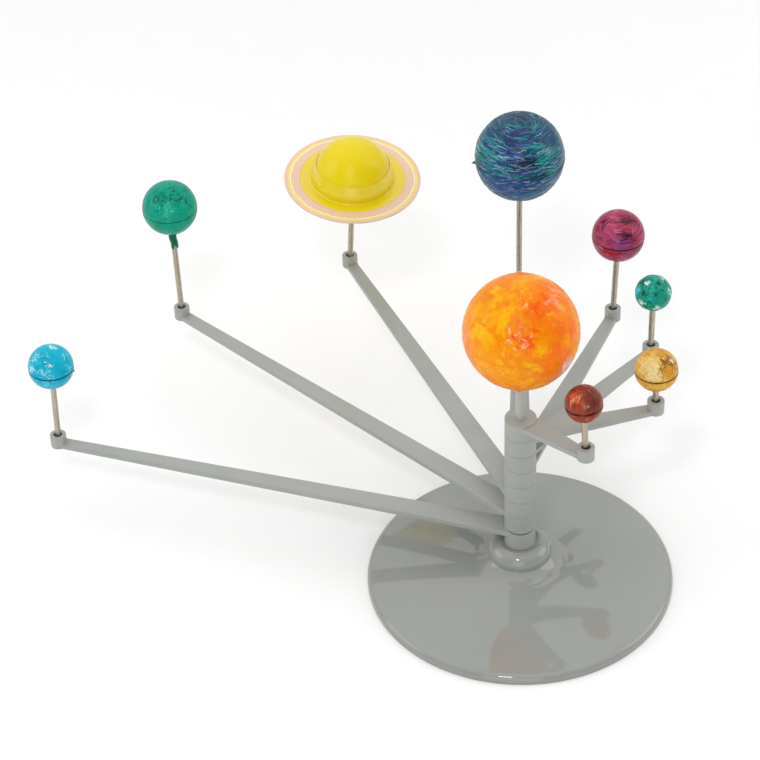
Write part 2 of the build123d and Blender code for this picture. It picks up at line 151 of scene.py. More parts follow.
LOOKS = {
    "sun": Look(
        seed=11,
        ground="#f28a02",
        layers=[
            Layer(160, ["#f79c02", "#f48c02", "#f67f02", "#f8a802"], (12, 24), (5, 9), 60, 50, 0.95),
            Layer(150, ["#fab002", "#f79002", "#f57a02", "#f88602"], (6, 13), (3, 6), 40, 60, 0.85),
            Layer(90, ["#f36a02", "#f05c04", "#f47a04"], (2.5, 7), (0.8, 1.8), 50, 70, 0.65),
            Layer(260, ["#fdb604", "#f88a02", "#f37002", "#f69e04"], (3, 8), (1.2, 2.6), 50, 70, 0.7),
            Layer(60, ["#e85c04", "#ee6a04"], (1.5, 5), (0.4, 0.9), 50, 60, 0.6),
            Layer(20, ["#f04404", "#ec3404", "#f25804"], (3, 7), (1.5, 3), 50, 70, 0.8, (-88, 32, 11)),
            Layer(18, ["#f25404", "#f04804", "#f46404"], (4, 8), (1.5, 3.2), 70, 30, 0.8, (-62, 56, 10)),
            # Painted highlights: the next five layers lay pale pink, cream and yellow strokes where lamps
            # glint on the ball, at its middle, above it, low in front and at its upper right and left rims.
            Layer(36, ["#ffb888", "#ffe0c4", "#ff9c58"], (1.2, 3.2), (0.5, 1.1), 70, 60, 0.9, (-93, 30, 11)),
            Layer(12, ["#ffd0a8", "#ffa868"], (1.2, 3.0), (0.5, 1.0), 60, 60, 0.9, (-84, 62, 12)),
            Layer(8, ["#ffd23a", "#ffe27a"], (1.0, 2.4), (0.4, 0.7), 60, 60, 0.9, (-104, -2, 12)),
            Layer(22, ["#ff8c60", "#f97a3c", "#ffa484"], (4, 9), (1.4, 3.0), 60, 40, 0.85, (4, 54, 12)),
            Layer(20, ["#ffa47c", "#f88c50"], (4, 9), (1.2, 2.6), 75, 25, 0.85, (-158, 14, 13)),
            Layer(34, ["#e8e2e0", "#d6cfcd", "#f2eeec", "#c6bfc0"], (3, 7), (0.5, 1.3), 75, 20, 0.75,
                  (-37, -16, 7)),
        ],
        patches=[
            Patch(-141, 50, 24, ["#fcc404", "#fbb604", "#faa802"]),
            Patch(-133, 30, 14, ["#fdc806", "#fab404"]),
            Patch(-59, 58, 20, ["#f65c02", "#f56c02", "#f87e04"]),
            Patch(-83, 30, 11, ["#f04c06", "#f46004", "#f77c10"]),
            Patch(-44, 22, 26, ["#f47202", "#f57c02", "#f46802"]),
            Patch(-50, -14, 15, ["#f46a02", "#f27802"]),
            Patch(-104, -14, 26, ["#f9a402", "#f79602", "#fab204"]),
        ],
        pips=[Pip(93, 52, 1.5, 0.7), Pip(-93, -50, 1.9, 0.7)],
        spacing=0.34,
        soft=1.0,
        opacity=0.6,
        warp=2.4,
        relief=0.46,
        bristle=0.7,
        groove=0.02,
        groove_colour="#f08c04",
        rough=0.2,
        mottle=0.2,
        streak=0.5,
        gloss=0.15,
    ),
    "mercury": Look(
        seed=23,
        ground="#8a3620",
        layers=[
            Layer(90, ["#883422", "#9a3e22", "#7e3020", "#8e3826"], (5, 11), (1.6, 3.2), 75, 30, 0.9),
            Layer(110, ["#bc5028", "#7a3024", "#96402a", "#6c2e22"], (3, 8), (0.7, 1.5), 72, 35, 0.7),
            Layer(26, ["#d8703c", "#c86034"], (2, 5), (0.5, 1.0), 75, 25, 0.7, (-135, 46, 16)),
            # Painted glints: pale pink flecks on the upper left, where a lamp shines.
            Layer(12, ["#f0a078", "#f4b490"], (1, 3), (0.3, 0.6), 78, 15, 0.8, (-132, 44, 16)),
            Layer(16, ["#5c2820", "#6a2c24"], (5, 10), (0.5, 1.0), 80, 12, 0.85, (-44, 40, 14)),
            Layer(16, ["#a89aa0", "#c4b8bc", "#5a4442", "#8c7c80"], (0.9, 2.6), (0.4, 0.8), 60, 50, 0.85,
                  (-82, 28, 7)),
        ],
        patches=[
            Patch(-147, 50, 24, ["#c25a30", "#b04c2c"]),
            Patch(-40, 34, 24, ["#84382a", "#763226"]),
        ],
        pips=[],
        spacing=0.2,
        soft=0.4,
        opacity=0.8,
        warp=0.6,
        relief=0.24,
        bristle=0.45,
        groove=0.40,
        groove_colour="#54120a",
        rough=0.18,
        mottle=0.4,
        streak=0.8,
        gloss=0.2,
    ),
    "venus": Look(
        seed=37,
        ground="#d6a03a",
        layers=[
            Layer(90, ["#d8a23c", "#cf9430", "#deb04c", "#c98c2c"], (6, 13), (2, 4), 15, 35, 0.9),
            Layer(80, ["#e9be58", "#d2922a", "#c98a2c", "#efcc74"], (4, 9), (0.7, 1.6), 20, 45, 0.75),
            Layer(46, ["#ecd084", "#e6c670", "#f0da98"], (4, 9), (0.8, 2.0), 35, 35, 0.8, (-118, 48, 20)),
            # Painted highlight: pale gold strokes in front, where a lamp shines.
            Layer(24, ["#f0dca4", "#eacc84"], (4, 8), (0.6, 1.4), 10, 20, 0.8, (-103, 20, 12)),
            Layer(20, ["#8a5a20", "#9a6a28", "#7a4c18"], (3, 7), (0.7, 1.4), 45, 60, 0.85, (-36, 54, 14)),
            Layer(6, ["#8a5a1c", "#a0702c"], (3, 6), (0.5, 1.0), 20, 40, 0.85, (-74, 38, 7)),
            Layer(10, ["#8a5c24", "#a87a3c"], (3, 7), (0.4, 0.9), 70, 30, 0.85, (-24, 26, 12)),
            # Painted highlight: white strokes on the right, where a lamp shines.
            Layer(8, ["#fbf6ee", "#f2e8dc"], (1.5, 3.5), (0.5, 0.9), 80, 15, 0.95, (-22, 44, 5)),
        ],
        patches=[],
        pips=[],
        spacing=0.22,
        soft=0.45,
        opacity=0.75,
        warp=1.2,
        relief=0.22,
        bristle=0.5,
        groove=0.22,
        groove_colour="#6a3e10",
        rough=0.18,
        mottle=0.25,
        streak=0.7,
        gloss=0.15,
    ),
    "earth": Look(
        seed=41,
        ground="#0a967e",
        layers=[
            Layer(110, ["#0c9c86", "#088870", "#10a692", "#088a76"], (2.5, 5), (1.4, 2.6), 30, 90, 0.9),
            Layer(140, ["#12aa98", "#08785c", "#0c9a8c", "#0a8064"], (1.4, 3.0), (0.7, 1.4), 30, 90, 0.85),
            Layer(34, ["#04523c", "#055a44", "#034a38"], (1.2, 2.4), (0.8, 1.5), 20, 90, 0.95),
            Layer(12, ["#044c38", "#05563e"], (1.4, 2.6), (1.0, 1.8), 20, 90, 0.95, (-58, 62, 6)),
            Layer(12, ["#044c38", "#05563e"], (1.4, 2.6), (1.0, 1.8), 20, 90, 0.95, (-134, 28, 8)),
            Layer(9, ["#04523e", "#055c48"], (1.2, 2.2), (0.8, 1.4), 20, 90, 0.95, (-87, 31, 4)),
            Layer(9, ["#044c38", "#05563e"], (1.4, 2.6), (0.9, 1.6), 20, 90, 0.95, (-176, 50, 7)),
            Layer(24, ["#14b4c0", "#22c0cc", "#1ab0b4"], (1.4, 3.0), (0.7, 1.4), 20, 90, 0.9, (-160, 22, 10)),
            Layer(12, ["#1cb4bc", "#16a8ac"], (1.4, 3.0), (0.7, 1.4), 20, 90, 0.9, (-98, 18, 10)),
            Layer(16, ["#e4f3f0", "#cbe6e2", "#f4faf8"], (1.2, 2.6), (0.5, 1.1), 20, 90, 0.9, (-140, 63, 8)),
            Layer(20, ["#e4f3f0", "#c4e4de", "#f4faf8"], (1.2, 2.8), (0.5, 1.1), 20, 90, 0.9, (-131, -8, 9)),
            Layer(16, ["#dff0ec", "#c2e2dc"], (1.2, 2.6), (0.5, 1.1), 20, 90, 0.9, (-82, -17, 8)),
            Layer(22, ["#d8efe9", "#a8d8d0", "#eef8f5"], (1.0, 2.4), (0.4, 0.8), 70, 40, 0.9, (-24, 24, 10)),
            Layer(14, ["#d4ede8", "#a8dad2"], (1.0, 2.4), (0.4, 0.8), 30, 60, 0.9, (8, 64, 10)),
            Layer(26, ["#6cc8bc", "#8cd6cc", "#4cb8ac"], (0.8, 1.8), (0.35, 0.7), 20, 90, 0.9),
        ],
        patches=[],
        pips=[],
        spacing=0.2,
        soft=0.35,
        opacity=0.85,
        warp=0.7,
        relief=0.44,
        bristle=0.6,
        groove=0.03,
        groove_colour="#0a8470",
        rough=0.2,
        mottle=0.35,
        streak=0.6,
        gloss=0.2,
    ),
    "mars": Look(
        seed=53,
        ground="#942c4c",
        layers=[
            Layer(110, ["#9c3054", "#ac3c60", "#8a2648", "#b04466"], (7, 15), (2, 4), 6, 18, 0.9),
            Layer(130, ["#b84a70", "#7c2444", "#a2304e", "#902c42"], (5, 12), (0.8, 1.8), 6, 18, 0.7),
            Layer(34, ["#4c1632", "#5a1c3a", "#42142e"], (4, 10), (0.5, 1.1), 4, 16, 0.75),
            Layer(26, ["#b8446e", "#c05478", "#ac3c66"], (4, 9), (1.0, 2.2), 20, 25, 0.8, (-116, 52, 16)),
            Layer(26, ["#984480", "#a4548c", "#8c3a72"], (4, 9), (0.8, 1.8), 6, 18, 0.8, (-86, 16, 13)),
            Layer(18, ["#b02036", "#a21a2c", "#c4304a"], (4, 9), (0.8, 1.8), 20, 25, 0.8, (-112, -10, 13)),
            Layer(9, ["#3a1028", "#441430"], (5, 10), (0.7, 1.3), 4, 12, 0.9, (-70, 32, 9)),
            Layer(9, ["#44122e", "#3c1028"], (4, 8), (0.6, 1.2), 60, 20, 0.9, (-146, 50, 8)),
            Layer(9, ["#4a1632", "#40122c"], (4, 9), (0.7, 1.4), 10, 20, 0.9, (-42, 66, 9)),
            # Painted glints: thin pale pink streaks all over the ball.
            Layer(20, ["#e49ab4", "#d87c9c", "#f0bccc"], (2, 5), (0.25, 0.5), 10, 22, 0.75),
        ],
        patches=[],
        pips=[],
        spacing=0.22,
        soft=0.4,
        opacity=0.8,
        warp=0.7,
        relief=0.28,
        bristle=0.45,
        groove=0.22,
        groove_colour="#3a102a",
        rough=0.18,
        mottle=0.35,
        streak=0.8,
        gloss=0.2,
    ),
    "jupiter": Look(
        seed=67,
        ground="#0c4058",
        layers=[
            Layer(200, ["#085068", "#0a4468", "#066070", "#0e4068", "#066a74"], (14, 30), (2.5, 5), 2, 9,
                  0.95),
            Layer(620, ["#08707a", "#0e4674", "#0a8688", "#083452", "#123c6c"], (8, 22), (0.5, 1.3), 2, 9,
                  0.75),
            Layer(44, ["#322a74", "#40398a", "#2a2664"], (5, 13), (0.6, 1.3), 6, 14, 0.75, (-108, 44, 17)),
            Layer(34, ["#0a8884", "#087c7c", "#10948c"], (5, 14), (0.5, 1.3), 2, 10, 0.75, (-140, 22, 20)),
            Layer(34, ["#0a8884", "#087c7c", "#10948c"], (5, 14), (0.5, 1.3), 2, 10, 0.75, (-54, 18, 20)),
            Layer(20, ["#0a8884", "#12948c"], (4, 10), (0.5, 1.3), 2, 10, 0.75, (-104, 12, 12)),
            Layer(24, ["#0a1430", "#1a1438", "#0c1c3c"], (4, 10), (0.6, 1.4), 2, 10, 0.85, (-80, 21, 8)),
            Layer(80, ["#1a4880", "#284884", "#14527e", "#36468a"], (8, 20), (0.7, 1.7), 2, 10, 0.75,
                  (-106, -16, 26)),
            Layer(40, ["#124a7c", "#185a8a"], (8, 18), (0.7, 1.6), 2, 10, 0.75, (-62, -14, 20)),
            Layer(230, ["#061a36", "#081426", "#160f34"], (6, 16), (0.3, 0.7), 2, 10, 0.7),
            Layer(300, ["#2c94a8", "#4a90bc", "#4a5ca4", "#2ca8a4"], (3, 9), (0.25, 0.5), 2, 10, 0.6),
            # Painted glints: the next two layers lay thin pale blue streaks, most of them on the side that
            # faces the lamps.
            Layer(150, ["#8cc0d8", "#b8d4e8", "#7ca0d0"], (2.5, 7), (0.25, 0.45), 2, 12, 0.7, (-96, 22, 48)),
            Layer(90, ["#7ca8d4", "#94b8dc", "#7c94d0"], (2.5, 7), (0.25, 0.45), 2, 12, 0.7),
        ],
        patches=[],
        pips=[Pip(-177, -8, 0.8, 1.9)],
        spacing=0.25,
        soft=0.25,
        opacity=0.85,
        warp=0.9,
        relief=0.60,
        bristle=0.34,
        groove=0.03,
        groove_colour="#0a3650",
        rough=0.17,
        mottle=0.35,
        streak=1.0,
        gloss=0.3,
    ),
    "saturn": Look(
        seed=71,
        ground="#ead002",
        layers=[
            Layer(60, ["#ead202", "#e9ce02", "#ecd604"], (16, 30), (6, 10), 0, 40, 1.0),
            Layer(26, ["#ecd406", "#e7ca02"], (8, 16), (2, 4), 0, 40, 0.95),
        ],
        patches=[Patch(-30, 10, 40, ["#e6c402", "#e8c802"])],
        pips=[],
        spacing=0.42,
        soft=1.5,
        opacity=0.5,
        warp=1.0,
        relief=0.14,
        bristle=2.2,
        groove=0.3,
        groove_colour="#c9a804",
        rough=0.09,
        mottle=0.0,
        streak=0.05,
        gloss=0.3,
    ),
    "uranus": Look(
        seed=83,
        ground="#07997e",
        layers=[
            Layer(110, ["#089a80", "#069278", "#0aa286", "#058a70"], (5, 11), (2, 4), 40, 90, 0.9),
            Layer(130, ["#0ca488", "#068068", "#099478"], (3, 6), (0.7, 1.5), 40, 90, 0.75),
            Layer(30, ["#30b898", "#22ae8e"], (2, 4), (0.7, 1.4), 70, 40, 0.8, (-90, 28, 16)),
            # Painted glints: small pale flecks in front, where a lamp shines.
            Layer(12, ["#a8e4d0", "#7cd4bc"], (0.8, 1.8), (0.3, 0.6), 80, 30, 0.9, (-88, 30, 15)),
            Layer(60, ["#022e20", "#023a28"], (1.3, 1.9), (0.8, 1.15), 20, 90, 1.0, (-78, 58, 24)),
            Layer(14, ["#022e20", "#023a28"], (1.3, 1.9), (0.8, 1.15), 20, 90, 1.0, (-130, 50, 12)),
            Layer(14, ["#022e20", "#023a28"], (1.3, 1.9), (0.8, 1.15), 20, 90, 1.0, (-28, 42, 12)),
        ],
        patches=[],
        pips=[Pip(-90, -76, 1.6, 0.5)],
        spacing=0.24,
        soft=0.35,
        opacity=0.75,
        warp=0.8,
        relief=0.22,
        bristle=0.5,
        groove=0.14,
        groove_colour="#056a50",
        rough=0.2,
        mottle=0.3,
        streak=0.6,
        gloss=0.15,
    ),
    "neptune": Look(
        seed=97,
        ground="#0cacc8",
        layers=[
            Layer(70, ["#0cacca", "#09a2c2", "#10b2ce"], (7, 14), (2.5, 5), 20, 50, 0.95),
            Layer(60, ["#14b6d0", "#0898ba", "#1cbcd4"], (3, 7), (0.9, 1.8), 20, 60, 0.8),
            Layer(20, ["#a4dfe6", "#84d4de", "#c4eaee"], (1.6, 4), (0.7, 1.4), 20, 40, 0.7, (50, 80, 10)),
            Layer(18, ["#98dae2", "#b0e4e8", "#6cced8"], (1.6, 4), (0.7, 1.4), 60, 50, 0.7, (-144, 20, 9)),
            Layer(26, ["#94d8e2", "#ace2e8", "#5cc6d6"], (1.2, 3.2), (0.5, 1.1), 60, 60, 0.7, (-101, 20, 12)),
            Layer(14, ["#a8e2e8", "#6cced8"], (2, 5), (0.5, 1.0), 20, 30, 0.7, (-150, 54, 12)),
            # Painted glints: near-white flecks in the middle of the front, where a lamp shines.
            Layer(12, ["#e8f7f7", "#c8eef0"], (1.0, 2.2), (0.5, 0.9), 70, 40, 0.9, (-84, 42, 9)),
            Layer(14, ["#9cdee6", "#60c8d8"], (1.6, 4), (0.5, 1.1), 20, 30, 0.7, (-12, 42, 10)),
            Layer(20, ["#8ed8e2", "#54c4d4"], (1.6, 4), (0.5, 1.1), 20, 40, 0.7, (-22, 6, 12)),
            Layer(26, ["#88d6e0", "#58c6d6"], (1.6, 4), (0.5, 1.1), 20, 40, 0.7, (-88, -14, 24)),
            Layer(30, ["#6cccda", "#44bed2"], (1.4, 3.4), (0.5, 1.0), 30, 60, 0.7),
        ],
        patches=[],
        pips=[Pip(0, -14, 0.6, 0.7)],
        spacing=0.21,
        soft=0.5,
        opacity=0.75,
        warp=0.9,
        relief=0.22,
        bristle=0.6,
        groove=0.30,
        groove_colour="#0a5f8e",
        rough=0.2,
        mottle=0.15,
        streak=0.4,
        gloss=0.15,
    ),
}


# --- Numbers and noise ---------------------------------------------------------------------------


def linear(code):
    """A colour code as three linear numbers."""
    share = np.array([int(code[i : i + 2], 16) for i in (1, 3, 5)]) / 255
    return np.where(share <= 0.04045, share / 12.92, ((share + 0.055) / 1.055) ** 2.4)


def smooth(share):
    """From 0 to 1 with no corner at either end."""
    held = np.clip(share, 0, 1)
    return held * held * (3 - 2 * held)


def lattice(cells, seed):
    """A repeatable number from 0 to 1 for each cell of whole numbers."""
    mixed = (cells[:, 0] * 73856093) ^ (cells[:, 1] * 19349663) ^ (cells[:, 2] * 83492791)
    mixed = (mixed ^ (seed * 2654435761)) & 0xFFFFFFFF
    mixed = ((mixed ^ (mixed >> 15)) * 2246822519) & 0xFFFFFFFF
    mixed = ((mixed ^ (mixed >> 13)) * 3266489917) & 0xFFFFFFFF
    return ((mixed ^ (mixed >> 16)) & 0xFFFF) / 65535


def noise(points, seed):
    """Smooth value noise from 0 to 1, with features one unit across."""
    base = np.floor(points).astype(np.int64)
    ease = smooth(points - base)
    total = np.zeros(len(points))
    for corner in product((0, 1), repeat=3):
        weight = np.prod(np.where(np.array(corner) == 1, ease, 1 - ease), axis=1)
        total += weight * lattice(base + np.array(corner), seed)
    return total


def towards(azimuth, elevation):
    """The unit vector that points that way, in degrees."""
    a, e = radians(azimuth), radians(elevation)
    return np.array([cos(a) * cos(e), sin(a) * cos(e), sin(e)])


def on_circle(radius, x):
    """How far a circle about the origin reaches in y at x."""
    return sqrt(radius**2 - x**2)


# --- Meshes --------------------------------------------------------------------------------------


def turned(profile, segments):
    """(radius, height) points turned round the z axis, one row of points for each."""
    turn = np.linspace(0, 2 * pi, segments, endpoint=False)
    rings = np.array(profile)
    x = np.outer(rings[:, 0], np.cos(turn))
    y = np.outer(rings[:, 0], np.sin(turn))
    z = np.repeat(rings[:, 1:2], segments, axis=1)
    return np.stack([x, y, z], axis=-1).reshape(-1, 3)


def band(low, high, segments):
    """The faces between two rows, given each row's first point."""
    here = np.arange(segments)
    after = (here + 1) % segments
    return [(low + a, high + a, high + b, low + b) for a, b in zip(here, after)]


def loop_faces(rows, segments):
    """The faces of rows that close on themselves, as on a ring."""
    faces = []
    for row in range(rows):
        faces += band(row * segments, (row + 1) % rows * segments, segments)
    return faces


def lathe(profile, segments):
    """Turns (radius, height) points round the z axis. The first and the last lie on it.
    Returns the points, the faces and, for each point, which profile point it comes from."""
    rows = len(profile) - 2
    points = np.vstack([[0, 0, profile[0][1]], turned(profile[1:-1], segments), [0, 0, profile[-1][1]]])
    source = np.concatenate([[0], np.repeat(np.arange(rows), segments) + 1, [rows + 1]])
    last = len(points) - 1
    here = np.arange(segments)
    after = (here + 1) % segments
    faces = [(0, 1 + a, 1 + b) for a, b in zip(here, after)]
    for row in range(rows - 1):
        faces += band(1 + row * segments, 1 + (row + 1) * segments, segments)
    top_row = last - segments
    faces += [(top_row + a, last, top_row + b) for a, b in zip(here, after)]
    return points, faces, source


def arc_points(radius, start, end, spacing):
    """(radius, height) points along a circle about the origin, by angle above the x axis in degrees."""
    count = max(2, round(radius * radians(abs(end - start)) / spacing) + 1)
    return [(radius * cos(radians(a)), radius * sin(radians(a))) for a in np.linspace(start, end, count)]


def new_piece(name, points, faces, attributes, material, body):
    """A mesh object that rides on a CAD body. points are millimetres in the frame's axes."""
    mesh = bpy.data.meshes.new(name)
    mesh.from_pydata((points * MM).tolist(), [], faces)
    mesh.update()
    for key, values in attributes.items():
        if values.shape[1] == 4:
            layer = mesh.color_attributes.new(key, "FLOAT_COLOR", "POINT")
            layer.data.foreach_set("color", values.astype(np.float32).ravel())
        else:
            layer = mesh.attributes.new(key, "FLOAT_VECTOR", "POINT")
            layer.data.foreach_set("vector", values.astype(np.float32).ravel())
    mesh.shade_smooth()
    mesh.set_sharp_from_angle(angle=radians(SHARP_ANGLE))
    mesh.materials.append(material)
    piece = bpy.data.objects.new(name, mesh)
    bpy.context.scene.collection.objects.link(piece)
    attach(piece, body)
    return piece


# --- Materials -----------------------------------------------------------------------------------


class Nodes:
    """A short way to write a node tree."""

    def __init__(self, name):
        self.material = bpy.data.materials.new(name)
        self.material.use_nodes = True
        self.tree = self.material.node_tree
        self.shader = self.tree.nodes["Principled BSDF"]

    def add(self, kind, inputs=None, **settings):
        node = self.tree.nodes.new(kind)
        for key, value in settings.items():
            setattr(node, key, value)
        for key, value in (inputs or {}).items():
            self.put(node, key, value)
        return node

    def put(self, node, key, value):
        if isinstance(value, bpy.types.NodeSocket):
            self.tree.links.new(value, node.inputs[key])
        else:
            node.inputs[key].default_value = value

    def noise(self, vector, scale, detail=4.0, rough=0.5):
        """A noise texture's value, about 0.5."""
        inputs = {"Vector": vector, "Scale": scale, "Detail": detail, "Roughness": rough}
        return self.add("ShaderNodeTexNoise", inputs).outputs["Fac"]

    def stretch(self, vector, scale):
        """vector with each axis scaled by its own number."""
        return self.add("ShaderNodeMapping", {"Vector": vector, "Scale": scale}).outputs["Vector"]

    def between(self, value, low, high, start=0.3, end=0.7):
        """value from start to end, mapped to low to high."""
        inputs = {0: value, 1: start, 2: end, 3: low, 4: high}
        return self.add("ShaderNodeMapRange", inputs).outputs["Result"]

    def mix(self, factor, a, b):
        """From colour a to colour b."""
        node = self.add("ShaderNodeMix", data_type="RGBA")
        self.put(node, "Factor", factor)
        for key, value in ((6, a), (7, b)):
            self.put(node, key, value if isinstance(value, bpy.types.NodeSocket) else (*value, 1))
        return node.outputs[2]

    def plus(self, a, b):
        return self.add("ShaderNodeMath", {0: a, 1: b}, operation="ADD").outputs[0]

    def times(self, a, b):
        return self.add("ShaderNodeMath", {0: a, 1: b}, operation="MULTIPLY").outputs[0]

    def scaled(self, vector, factor):
        return self.add("ShaderNodeVectorMath", {0: vector, 3: factor}, operation="SCALE").outputs[0]

    def bump(self, height, distance, strength=1.0):
        inputs = {"Height": height, "Distance": distance, "Strength": strength}
        self.put(self.shader, "Normal", self.add("ShaderNodeBump", inputs).outputs["Normal"])

    def finish(self, **sockets):
        for key, value in sockets.items():
            self.put(self.shader, key.replace("_", " "), value)
        return self.material


def paint_material(name, look):
    """Thick glossy poster paint: the strokes come with the mesh, and nodes add the pigment and hairs."""
    n = Nodes(name)
    coat = n.add("ShaderNodeAttribute", attribute_name="paint")
    place = n.add("ShaderNodeAttribute", attribute_name="local").outputs["Vector"]
    streaks = n.noise(n.stretch(place, (0.7, 0.7, 3.0)), 1.1 / look.bristle, 5, 0.6)
    pigment = n.noise(place, 1.6, 5, 0.65)
    tint = n.between(streaks, 1 - 0.22 * look.streak, 1 + 0.1 * look.streak)
    shade = n.scaled(coat.outputs["Color"], tint)
    colour = n.mix(n.between(pigment, 0.0, look.mottle, 0.5, 0.75), shade, n.scaled(shade, 0.66))
    rough = n.between(pigment, look.rough * 0.7, look.rough * 1.8)
    hairs = n.noise(n.stretch(place, (1.0, 1.0, 4.0)), 2.2 / look.bristle, 6, 0.6)
    n.bump(hairs, 0.05 * MM * look.bristle)
    return n.finish(Base_Color=colour, Roughness=rough, IOR=1.48, Specular_IOR_Level=look.gloss)


def moulded_material(name, colour, rough, variation=0.05, grain=0.02):
    """Injection-moulded plastic: slight clouding, fine texture and faint scuffs."""
    n = Nodes(name)
    place = n.add("ShaderNodeTexCoord").outputs["Object"]
    clouds = n.noise(place, 38, 3)
    flow = n.noise(n.stretch(place, (1, 1, 0.35)), 260, 4, 0.6)
    fine = n.noise(place, 2600, 3, 0.6)
    base = linear(colour)
    light = tuple(base * (1 + variation))
    dark = tuple(base * (1 - variation))
    body = n.mix(n.between(clouds, 0, 1), dark, light)
    body = n.mix(n.between(flow, 0, 0.35, 0.52, 0.72), body, tuple(base * (1 + 2 * variation)))
    scuffs = n.noise(n.stretch(place, (1, 1, 6)), 420, 6, 0.7)
    shine = n.between(flow, rough * 0.85, rough * 1.15)
    n.bump(fine, grain * MM)
    return n.finish(Base_Color=body, Roughness=n.plus(shine, n.between(scuffs, 0, 0.12, 0.6, 0.8)), IOR=1.49)


def gloss_base_material():
    """Polished styrene: nearly a mirror at low angles, with faint ripples, dust and hairline scratches."""
    n = Nodes("base_gloss")
    place = n.add("ShaderNodeTexCoord").outputs["Object"]
    clouds = n.noise(place, 22, 3)
    base = linear("#929591")
    body = n.mix(n.between(clouds, 0, 1), tuple(base * 0.97), tuple(base * 1.03))
    dust = n.noise(place, 2200, 2, 0.7)
    body = n.mix(n.between(dust, 0, 0.35, 0.68, 0.8), body, tuple(base * 1.35))
    scratch = n.noise(n.stretch(place, (1, 14, 1)), 160, 5, 0.6)
    rough = n.plus(n.between(clouds, 0.04, 0.07), n.between(scratch, 0, 0.07, 0.62, 0.8))
    n.bump(n.noise(place, 26, 2), 0.10 * MM, 0.35)
    return n.finish(Base_Color=body, Roughness=rough, IOR=1.59)


def steel_material():
    """Drawn wire: warm grey metal with lines along it."""
    n = Nodes("rod_wire")
    place = n.add("ShaderNodeTexCoord").outputs["Object"]
    lines = n.noise(n.stretch(place, (1, 1, 0.03)), 2600, 4, 0.7)
    spots = n.noise(place, 420, 4, 0.6)
    warm = tuple(linear("#c3b8a8"))
    dull = tuple(linear("#8f8474"))
    colour = n.mix(n.between(lines, 0, 1, 0.35, 0.75), warm, dull)
    colour = n.mix(n.between(spots, 0, 0.5, 0.58, 0.75), colour, tuple(linear("#6f6455")))
    rough = n.between(spots, 0.22, 0.42)
    n.bump(lines, 0.012 * MM)
    return n.finish(Base_Color=colour, Roughness=rough, Metallic=1.0)


def ring_material():
    """Saturn's ring: hand-painted bands by distance from the middle, with fine lines."""
    n = Nodes("ring_bands")
    place = n.add("ShaderNodeAttribute", attribute_name="local").outputs["Vector"]
    flat = n.add("ShaderNodeVectorMath", {0: place, 1: (1, 1, 0)}, operation="MULTIPLY").outputs[0]
    reach = n.add("ShaderNodeVectorMath", {0: flat}, operation="LENGTH").outputs["Value"]
    wobble = n.between(n.noise(place, 0.09, 2), -0.22, 0.22)
    brush = n.between(n.noise(place, 1.2, 4, 0.6), -0.10, 0.10)
    along = n.between(n.plus(n.plus(reach, wobble), brush), 0, 1, 0, RING_RADIUS)
    ramp = n.add("ShaderNodeValToRGB", {"Fac": along})
    yellow, beige, pale, lemon, pink, grey = "#ead202", "#e2b494", "#fbf4da", "#e8d41c", "#e6b090", "#d3c6b4"
    bands = [
        (0.0, yellow),
        (25.6, yellow),
        (25.8, beige),
        (30.1, beige),
        (30.3, pale),
        (30.7, pale),
        (30.9, lemon),
        (31.9, lemon),
        (32.1, pink),
        (33.2, pink),
        (33.6, grey),
    ]
    line = ramp.color_ramp
    while len(line.elements) < len(bands):
        line.elements.new(0.5)
    for element, (radius, code) in zip(line.elements, bands):
        element.position = radius / RING_RADIUS
        element.color = (*linear(code), 1)
    phase = n.times(reach, 2 * pi / RING_LINE_PITCH)
    waves = n.add("ShaderNodeMath", {0: phase}, operation="SINE").outputs[0]
    outer = n.between(reach, 0, 1, PRINT_RADIUS + 0.2, PRINT_RADIUS + 0.5)
    lines = n.times(n.between(waves, 0, 0.75, 0.1, 0.9), outer)
    colour = n.mix(lines, ramp.outputs["Color"], tuple(linear("#fdf0df")))
    mottle = n.noise(place, 0.8, 5, 0.6)
    colour = n.mix(n.between(mottle, 0, 0.16), colour, tuple(linear("#d8b02c")))
    n.bump(n.noise(place, 2.0, 5, 0.6), 0.03 * MM)
    rough = n.between(mottle, 0.14, 0.3)
    return n.finish(Base_Color=colour, Roughness=rough, IOR=1.5, Coat_Weight=0.3, Coat_Roughness=0.08)


# --- Painted balls -------------------------------------------------------------------------------


def stroke_colours(look, layer, middle, choice):
    """The colours that a stroke may have: its layer's, or those of a patch that it falls in."""
    codes = layer.colours
    if layer.place or choice % 10 >= 10 * PATCH_SHARE:
        return codes
    for patch in look.patches:
        if middle @ towards(patch.azimuth, patch.elevation) > cos(radians(patch.radius)):
            codes = patch.colours
    return codes


def draw_strokes(look):
    """The strokes of a look, one by one, in the order in which they are laid."""
    draw = np.random.default_rng(look.seed)
    for layer in look.layers:
        for _ in range(layer.count):
            middle = draw.normal(size=3)
            if layer.place:
                azimuth, elevation, spread = layer.place
                middle = towards(azimuth, elevation) + middle * tan(radians(spread)) * 0.6
            middle /= np.linalg.norm(middle)
            length = draw.uniform(*layer.length)
            width = draw.uniform(*layer.width)
            turn = radians(layer.heading * draw.choice([-1, 1]) + draw.normal() * layer.wander)
            choice = draw.integers(1000)
            lift = draw.uniform(0.35, 1)
            bow = draw.normal()
            seed = draw.integers(9999)
            codes = stroke_colours(look, layer, middle, choice)
            tint = linear(codes[choice % len(codes)])
            yield Stroke(middle, length, width, turn, tint, lift, bow, seed, layer.wet)


